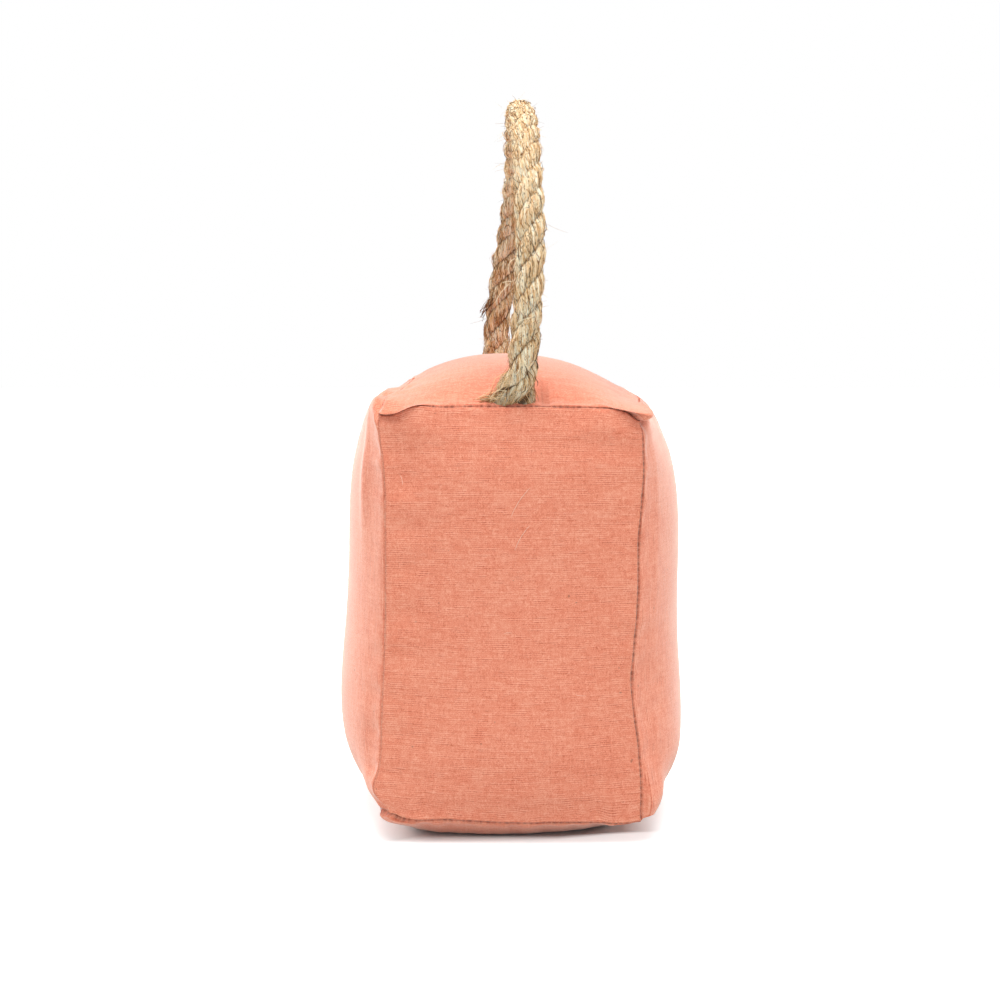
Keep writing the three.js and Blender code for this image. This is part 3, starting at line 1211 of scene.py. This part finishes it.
@dataclass
class RopeHandle:
    """Three strands of jute laid right-handed, standing in a loop over the bag.

    The course gives X in millimetres at shares of the loop.
    """

    jute: bpy.types.Material
    loose: bpy.types.Material
    diameter: float = 12 * MM
    pitch: float = 36 * MM
    share: float = 0.66
    yarns: int = 8
    yarn_turns: float = 1.8
    tail: float = 10 * MM
    flare: float = 14 * MM
    seam_height: float = 188 * MM
    seam_y: float = 68 * MM
    rise: float = 122.5 * MM
    limb_bow: float = 30 * MM
    foot_drift: float = -3 * MM
    flat_reach: float = 5.2 * MM
    flat_depth: float = 1.2 * MM
    course: tuple[tuple[float, float], ...] = (
        (0.0, 3.2),
        (0.05, 4.8),
        (0.14, 7.6),
        (0.2, 7.6),
        (0.28, 6.8),
        (0.5, 4.1),
        (0.7, 3.6),
        (0.82, 0.0),
        (0.91, -5.4),
        (1.0, -6.8),
    )
    step_in: float = 5.4 * MM
    step_in_height: float = 22 * MM
    hair_count: int = 6500
    standing_count: int = 900
    tuft_count: int = 16
    frayed_count: int = 520
    pulls: Array = field(init=False)
    knots: Array = field(init=False)
    walked: Array = field(init=False)
    length: float = field(init=False)

    def __post_init__(self) -> None:
        """Measures the middle line, which rises three quarters of the way to its upper pulls."""
        low = self.seam_height - self.tail
        pull = low + (self.rise + self.tail) / 0.75
        self.pulls = np.array(
            [
                (0, -self.seam_y, low),
                (0, -self.seam_y - self.limb_bow, pull),
                (0, self.seam_y + self.limb_bow, pull),
                (0, self.seam_y, low),
            ]
        )
        self.knots = np.linspace(0, 1, 3001)
        steps = np.linalg.norm(np.diff(self._bezier(self.knots), axis=0), axis=1)
        self.walked = np.concatenate([[0], np.cumsum(steps)])
        self.length = float(self.walked[-1])

    def _bezier(self, share: Array) -> Array:
        """The loop: a cubic Bezier curve in Y and Z, with X from a spline through the course."""
        t = share
        weights = [(1 - t) ** 3, 3 * t * (1 - t) ** 2, 3 * t * t * (1 - t), t**3]
        points = np.stack(weights, axis=-1) @ self.pulls
        places, offsets = np.array(self.course).T
        sideways = spline_weights(places, share.ravel()) @ (offsets * MM)
        points[..., 0] = sideways.reshape(share.shape)
        return points

    def _caught(self, share: Array) -> Array:
        """The curve with both feet drawn in behind the panel that they are sewn to."""
        points = self._bezier(share)
        low = 1 - smooth_step(points[..., 2] - self.seam_height, -self.tail, self.step_in_height)
        points[..., 1] -= np.sign(points[..., 1]) * self.step_in * low
        return points

    def middle(self, along: Array) -> tuple[Array, Array, Array]:
        """The middle line and the directions that a section stands in.

        Args:
            along: Distances from the end of the front tail.

        Returns:
            Points, and the directions sideways and across the rope.
        """
        share = np.interp(along, self.walked, self.knots)
        points = self._caught(share)
        after, before = np.minimum(share + 1e-4, 1), np.maximum(share - 1e-4, 0)
        ahead = unit(self._caught(after) - self._caught(before))
        across = unit(np.cross(ahead, np.broadcast_to([1.0, 0.0, 0.0], ahead.shape)))
        return points, np.cross(across, ahead), across

    def from_end(self, along: Array) -> Array:
        """Distance along the rope from its nearer end."""
        return np.minimum(along, self.length - along)

    def roundness(self, along: Array) -> Array:
        """0 where the rope is pressed flat in its seam, 1 where it is round."""
        return smooth_step(self.from_end(along) - self.tail, 0, self.flare)

    def upper(self, along: Array) -> Array:
        """0 on the lower parts of both limbs, where the lay shows best, and 1 over the top."""
        return smooth_step(self.from_end(along), 70 * MM, 105 * MM)

    def far(self, along: Array) -> Array:
        """0 on the front limb and over the top, and 1 on the back limb."""
        return smooth_step(along, 0.62 * self.length, 0.78 * self.length)

    def lay_turn(self, strand: Array, along: Array) -> Array:
        """How far round the rope a strand has turned."""
        return TURN * (along / self.pitch + strand / 3)

    @property
    def strand_radius(self) -> float:
        """The radius of one strand."""
        return self.diameter / 2 * self.share

    def strand_middle(self, strand: Array, along: Array) -> Array:
        """The middle of a strand: a helix round the rope, spread side by side in the seam.

        Args:
            strand: Which strand, 0 to 2.
            along: Distances along the rope.

        Returns:
            Points in metres.
        """
        points, side, across = self.middle(along)
        whole = self.roundness(along)
        radius = self.diameter / 2 * (1 - self.share)
        turn = self.lay_turn(strand, along)
        wander = 1 + 0.05 * ripple(along, 31 * MM, 5)
        sideways = (radius * whole + self.flat_reach * (1 - whole)) * np.cos(turn) * wander
        through = (radius * whole + self.flat_depth * (1 - whole)) * np.sin(turn) * wander
        sideways = sideways + self.foot_drift * (1 - whole)
        return points + side * sideways[..., None] + across * through[..., None]

    def surface(
        self, strand: Array, along: Array, angle: Array, lift: Union[Array, float] = 0.0
    ) -> Array:
        """Points on or over a strand's surface.

        A strand's section is a circle with one low lobe for each yarn, and the lobes turn
        against the lay, so that the yarns run along the rope.

        Args:
            strand: Which strand, 0 to 2.
            along: Distances along the rope.
            angle: Angle round the strand, with 0 facing away from the rope's middle.
            lift: Height over the surface.

        Returns:
            Points in metres.
        """
        step = 0.4 * MM
        here = self.strand_middle(strand, along)
        before, after = (self.strand_middle(strand, along + way) for way in (-step, step))
        ahead = unit(after - before)
        _, side, across = self.middle(along)
        turn = self.lay_turn(strand, along)
        outward = side * np.cos(turn)[..., None] + across * np.sin(turn)[..., None]
        outward = unit(outward - ahead * np.sum(outward * ahead, axis=-1, keepdims=True))
        round_way = np.cross(ahead, outward)
        radius = self.strand_radius * (1 + self.relief(strand, along, angle)) + lift
        arm = outward * np.cos(angle)[..., None] + round_way * np.sin(angle)[..., None]
        pressed = 0.35 * (1 - self.roundness(along))
        flat = np.sum(arm * across, axis=-1, keepdims=True) * across
        arm -= flat * pressed[..., None]
        return here + arm * radius[..., None]

    def yarn_angle(self, strand: Array, along: Array, angle: Array) -> Array:
        """Angle round a strand counted from its own yarns, which turn against the lay."""
        return angle + self.yarn_turns * self.lay_turn(strand, along)

    def lobe(self, own: Array) -> Array:
        """0 between two yarns and 1 on the crown of one, at an angle counted from the yarns."""
        return np.abs(np.cos(own * self.yarns / 2))

    def relief(self, strand: Array, along: Array, angle: Array) -> Array:
        """How much a strand's surface stands out, as a share of its radius."""
        own = self.yarn_angle(strand, along, angle)
        lumps = ripple(along + 0.05 * strand, 13 * MM, 8) * 0.03
        knots = ripple(along + own * 2.3 * MM, 4.1 * MM, 12) * 0.022
        return 0.1 * (self.lobe(own) ** 0.7 - 0.75) + lumps + knots

    def strands(self) -> Skin:
        """Sweeps the three strands and closes their ends.

        Returns:
            One skin of the three, with the vector "yarn" and the number of painted shade.
        """
        around = 56
        along_line = np.linspace(0, self.length, int(self.length / (0.75 * MM)))
        angle_line = np.linspace(0, TURN, around, endpoint=False)
        along, angle = np.meshgrid(along_line, angle_line, indexing="ij")
        parts = []
        for strand in range(3):
            points = self.surface(np.full_like(along, strand), along, angle).reshape(-1, 3)
            ends = self.strand_middle(np.full(2, strand), along_line[[0, -1]])
            number = np.arange(along.size).reshape(along.shape)
            wrapped = np.concatenate([number, number[:, :1]], axis=1)
            quads = quads_of(wrapped)[:, ::-1]
            start_ring, end_ring = wrapped[0], wrapped[-1]
            caps = [
                np.stack([np.full(around, along.size), start_ring[1:], start_ring[:-1]], axis=-1),
                np.stack([np.full(around, along.size + 1), end_ring[:-1], end_ring[1:]], axis=-1),
            ]
            own = self.yarn_angle(strand, along, angle)
            round_yarn = [np.cos(own) * self.strand_radius, np.sin(own) * self.strand_radius]
            yarn = np.stack([along + strand, *round_yarn], axis=-1).reshape(-1, 3)
            # Painted shade between the yarns and in the grooves between strands, less over the top.
            hollow = np.maximum(1 - self.lobe(own) * 2.6, 0) * 0.42
            hollow += smooth_step(np.cos(angle), 0.5, 0.1) * (1 - 0.5 * self.upper(along))
            # Darker towards both feet.
            hollow += 0.5 * smooth_step(self.from_end(along) - self.tail, 9 * MM, 0)
            # Painted shade on the back limb.
            hollow += 0.18 * self.far(along)
            parts.append(
                Skin(
                    np.concatenate([points, ends]),
                    quads,
                    np.concatenate(caps),
                    {"hollow": np.concatenate([np.clip(hollow, 0, 1).ravel(), [0, 0]])},
                    {"yarn": np.concatenate([yarn, yarn[[0, -1]]])},
                )
            )
        return joined(parts)

    def hairs(self) -> Skin:
        """Fine fibres that lie along the yarns or stand off them.

        Returns:
            One skin of them all.
        """
        draw = np.random.default_rng(7)
        count, points = self.hair_count, 5
        strand = draw.integers(0, 3, (count, 1)).astype(float)
        along = draw.uniform(self.tail + 2 * MM, self.length - self.tail - 2 * MM, (count, 1))
        upper = self.upper(along)
        angle = draw.uniform(-1, 1, (count, 1)) * (0.9 + 0.4 * upper)
        reach = draw.uniform(1.2, 5.5, (count, 1)) * MM * draw.choice([-1, 1], (count, 1))
        share = np.linspace(0, 1, points)[None]
        wild = draw.exponential(0.3, (count, 1)) * MM
        line = along + reach * share
        curl = np.cumsum(draw.normal(0, 0.13, (count, points)), axis=1) * (share > 0)
        scatter = draw.normal(0, 0.45, (count, 1)) * (0.4 + 0.6 * upper) * share + curl
        turn = angle - self.yarn_turns * TURN * reach * share / self.pitch + scatter
        rise = np.sin(share * math.pi / 2 * draw.uniform(0.8, 2, (count, 1)))
        lift = (0.02 * MM + wild * rise) * (share > 0)
        line = np.clip(line, self.tail, self.length - self.tail)
        lying = self.surface(np.broadcast_to(strand, line.shape), line, turn, lift)
        radii = (0.05 + 0.14 * draw.random((count, 1)) ** 2) * MM * np.array([0.5, 1, 1, 0.9, 0.5])
        # Painted shade: fibres that lie in the grooves are darker, less so over the top.
        deep = smooth_step(np.cos(turn), 0.62, 0.12) * (1 - 0.55 * upper)
        shade = draw.random((count, 1)) ** 1.1 * (1 - deep)
        # Painted shade on the back limb, and painted light over the top: fibres on the lower limbs are
        # darker.
        shade = shade * (1 - 0.4 * self.far(along)) * (0.86 + 0.14 * upper)
        pick = draw.integers(0, count, self.standing_count)
        root = lying[pick, 0]
        standing = self._standing(draw, root, unit(root - self.middle(along[pick, 0])[0]))
        return joined([fibres(lying, radii, 3, shade), standing, self.strays()])

    def _standing(self, draw: np.random.Generator, root: Array, out: Array) -> Skin:
        """Fine fibres that stand off the rope, mostly short, each bending its own way.

        Args:
            draw: Where the random numbers come from.
            root: Where each one starts.
            out: The direction away from the rope's middle there.

        Returns:
            One skin of them all.
        """
        count = len(root)
        way = unit(out + draw.normal(0, 0.75, (count, 3)))
        size = (0.8 + 5.5 * draw.uniform(0, 1, (count, 1)) ** 5) * MM
        bend = draw.normal(0, 0.45, (count, 3))
        t = np.linspace(0, 1, 5)[None, :, None]
        paths = root[:, None] + size[:, :, None] * (way[:, None] * t + bend[:, None] * t * t)
        radii = draw.uniform(0.035, 0.06, (count, 1)) * MM * np.array([1, 1, 0.9, 0.8, 0.5])
        return fibres(paths, radii)

    def strays(self) -> Skin:
        """The long loose fibres that catch the eye, and the dark tuft on the back limb.

        Returns:
            One skin of them all.
        """
        start, bend, end, light = (np.array(part) for part in zip(*STRAYS))
        paths = arcs(start * MM, bend * MM, end * MM, 5)
        loose = fibres(paths, np.full(paths.shape[:2], 0.15 * MM), 3, light[:, None])
        draw = np.random.default_rng(33)
        count = self.tuft_count
        root = np.array([-8.5, 65.5, 229]) + draw.normal(0, 1, (count, 3)) * [1.2, 0.5, 1.2]
        tip = np.array([-13.5, 66.5, 221]) + draw.normal(0, 1, (count, 3)) * [0.7, 0.8, 1.6]
        sag = (root + tip) / 2 + draw.normal(0, 0.7, (count, 3))
        tuft = arcs(root * MM, sag * MM, tip * MM, 5)
        radii = np.full(tuft.shape[:2], 0.12 * MM)
        return joined([loose, fibres(tuft, radii, 3, draw.uniform(0, 0.2, (count, 1)))])

    def frayed_feet(self) -> Skin:
        """The short fibres that splay out where each foot goes into its seam.

        Returns:
            One skin of them all.
        """
        draw = np.random.default_rng(21)
        count = self.frayed_count
        parts = []
        for end in (0, 1):
            strand = draw.integers(0, 3, count).astype(float)
            tail = draw.random(count) < 0.24
            height = draw.uniform(0.5, 11, count) * MM * np.where(tail, 0.3, 1)
            along = self.tail + height if end == 0 else self.length - self.tail - height
            root = self.surface(strand, along, draw.uniform(-1.5, 1.5, count))
            foot = self.middle(np.array([end * self.length]))[0][0]
            spread = draw.beta(1.6, 1.5, count) * 21 * MM - 12.5 * MM
            spread = np.where(tail, -draw.uniform(8, 19, count) * MM, spread)
            goal = np.stack(
                [
                    foot[0] + spread,
                    foot[1] + (draw.normal(0, 1.2, count) - 2.6) * MM * (1 if end == 0 else -1),
                    self.seam_height + draw.uniform(-2.8, 0, count) * MM + 1.6 * MM * tail,
                ],
                axis=-1,
            )
            mid = (root + goal) / 2 + draw.normal(0, 0.9, (count, 3)) * MM
            humped = np.clip(-spread / (7 * MM), 0, 1) * ~tail
            mid[:, 0] -= 2.6 * MM * humped
            mid[:, 2] += (1 + 4 * humped) * MM
            paths = arcs(root, mid, goal, 6)
            curl = np.sin(math.pi * np.linspace(0, 1, 6))[None, :, None]
            paths += draw.normal(0, 0.32, paths.shape) * MM * curl
            radii = draw.uniform(0.07, 0.14, (count, 1)) * MM * np.array([0.6, 1, 1, 1, 0.9, 0.6])
            parts.append(fibres(paths, radii, 3, 0.1 + 0.8 * draw.random((count, 1)) ** 1.5))
        return joined(parts)

    def build(self) -> list[bpy.types.Object]:
        """Makes the strands, their hairs and the frayed feet.

        Returns:
            The pieces.
        """
        laid = self.strands().object("rope_strands", self.jute)
        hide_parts("rope_handle")
        hair = self.hairs().object("rope_fibres", self.loose)
        feet = self.frayed_feet().object("rope_frayed_feet", self.loose)
        for piece in (laid, hair, feet):
            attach(piece, "root")
        return [laid, hair, feet]


# The room


# Each lamp's name, place, target and watts

LAMPS = (
    ("top_light", (0.0, -0.35, 1.3), (0.0, 0.0, 0.1), 15),
    ("left_light", (-1.0, 0.75, 0.55), (0.0, 0.0, 0.12), 12),
    ("right_light", (1.1, 0.5, 0.25), (0.0, 0.0, 0.1), 6.2),
    ("back_light", (0.0, 1.2, 1.0), (0.0, 0.0, 0.15), 7),
    ("front_light", (0.3, -1.4, 1.05), (0.0, 0.0, 0.12), 4.4),
)


@dataclass
class Studio:
    """A white floor and room, soft lamps and the camera."""

    camera_place: tuple = (-4.5 * MM, -770 * MM, 237.8 * MM)
    camera_tilt: float = 7.34
    lens: float = 61.45
    floor_size: float = 6.0
    room_light: float = 0.3
    floor_glow: float = 0.55
    lamp_size: float = 0.9
    shade_front: float = -0.058
    shade_back: float = 0.045
    shade_half: float = 0.045
    shade_fade: float = 0.02

    def build(self) -> None:
        """Makes the floor, the room's light, the lamps and the camera."""
        scene = bpy.context.scene
        scene.view_settings.view_transform = "Standard"
        self._floor()
        self._room(scene)
        for name, place, target, power in LAMPS:
            self._lamp(name, place, target, power)
        lens = bpy.data.cameras.new("camera")
        lens.lens = self.lens
        lens.clip_start = 0.05
        camera = bpy.data.objects.new("camera", lens)
        camera.location = self.camera_place
        camera.rotation_euler = (math.radians(90 - self.camera_tilt), 0, 0)
        scene.collection.objects.link(camera)
        scene.camera = camera

    def _lamp(self, name: str, place: tuple, target: tuple, power: float) -> None:
        """Hangs one soft lamp.

        Args:
            name: Its name.
            place: Where it hangs.
            target: The point that it faces.
            power: Its power, in watts.
        """
        light = bpy.data.lights.new(name, "AREA")
        light.size = self.lamp_size
        light.energy = power
        lamp = bpy.data.objects.new(name, light)
        lamp.location = place
        x, y, z = (end - start for end, start in zip(target, place))
        turn = math.atan2(-x, y) if (x or y) else 0
        lamp.rotation_euler = (math.atan2(math.hypot(x, y), -z), 0, turn)
        bpy.context.scene.collection.objects.link(lamp)

    def _floor(self) -> None:
        """Lays the white floor, which glows to the camera but for a drawn patch round the bag, inside
        which its rendered shadow shows, so that the patch gives the shadow a painted outline.

        The shaded patch has a front edge that slants and narrows to the right, a back edge and
        two sides, each with its own soft border.
        """
        half = self.floor_size / 2
        corners = np.array([(-half, -half, 0), (half, -half, 0), (half, half, 0), (-half, half, 0)])
        made, sheet = blank_material("white_floor")
        seen = Signal(sheet, sheet.node("LightPath", {}, {}).outputs["Is Camera Ray"])
        sockets = {"Base Color": (0.72, 0.8, 0.82, 1), "Roughness": 0.9, "Specular IOR Level": 0.0}
        paper = sheet.node("BsdfPrincipled", {}, sockets)
        place = sheet.node("TexCoord", {}, {}).outputs["Object"]
        length = sheet.node("VectorMath", {"operation": "LENGTH"}, {0: place})
        reach = Signal(sheet, length.outputs["Value"])
        x, y, _ = sheet.axes(place)
        # The drawn patch without glow, whose outline the visible shadow takes.
        edge = sheet.maths("MAXIMUM", x - 0.02, 0.0) * 0.2 + self.shade_front
        width = sheet.maths("MAXIMUM", 0.0075 - x * 0.1, 0.0035)
        aside = (sheet.maths("ABSOLUTE", x - 0.004) - self.shade_half) / self.shade_fade
        behind = (y - self.shade_back) / self.shade_fade
        clear = sheet.maths("MAXIMUM", (edge - y) / width, sheet.maths("MAXIMUM", aside, behind))
        near = sheet.span(clear, 0, 1) * self.floor_glow
        lit = sheet.span(reach, 0.2, 0.5) * (1 - self.floor_glow) + near
        glow = sheet.node("Emission", {}, {"Color": (1, 1, 1, 1), "Strength": seen * lit})
        total = sheet.node("AddShader", {}, {0: paper.outputs[0], 1: glow.outputs[0]})
        sheet.node("OutputMaterial", {}, {0: total.outputs[0]})
        Skin(corners, np.array([[0, 1, 2, 3]])).object("white_floor", made)

    def _room(self, scene: bpy.types.Scene) -> None:
        """Lights the room evenly and shows it as white."""
        world = bpy.data.worlds.new("room")
        world.use_nodes = True
        scene.world = world
        sheet = Sheet(world.node_tree)
        rays = sheet.node("LightPath", {}, {}).outputs
        seen = Signal(sheet, rays["Is Camera Ray"]) + Signal(sheet, rays["Is Glossy Ray"])
        seen = seen + Signal(sheet, rays["Is Transmission Ray"])
        strength = seen * (1 - self.room_light) + self.room_light
        air = sheet.node("Background", {}, {"Color": (1, 1, 1, 1), "Strength": strength})
        sheet.node("OutputWorld", {}, {0: air.outputs[0]})


def main() -> None:
    """Builds the room, the bag and the handle."""
    logging.basicConfig(level=logging.INFO, format="%(name)s: %(message)s")
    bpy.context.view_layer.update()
    canvas = CanvasFinish().material()
    jute = JuteFinish().material()
    loose = JUTE_FIBRE.material()
    Studio().build()
    bag = StuffedBag(canvas)
    log.info("bag: %s", bag.build().name)
    bag.stitches(SEAM_THREAD.material())
    bag.lint(LINT_FIBRE.material())
    handle = RopeHandle(jute, loose)
    names = [piece.name for piece in handle.build()]
    log.info("handle: %s, %.0f mm of rope", names, handle.length / MM)


if __name__ == "__main__":
    main()
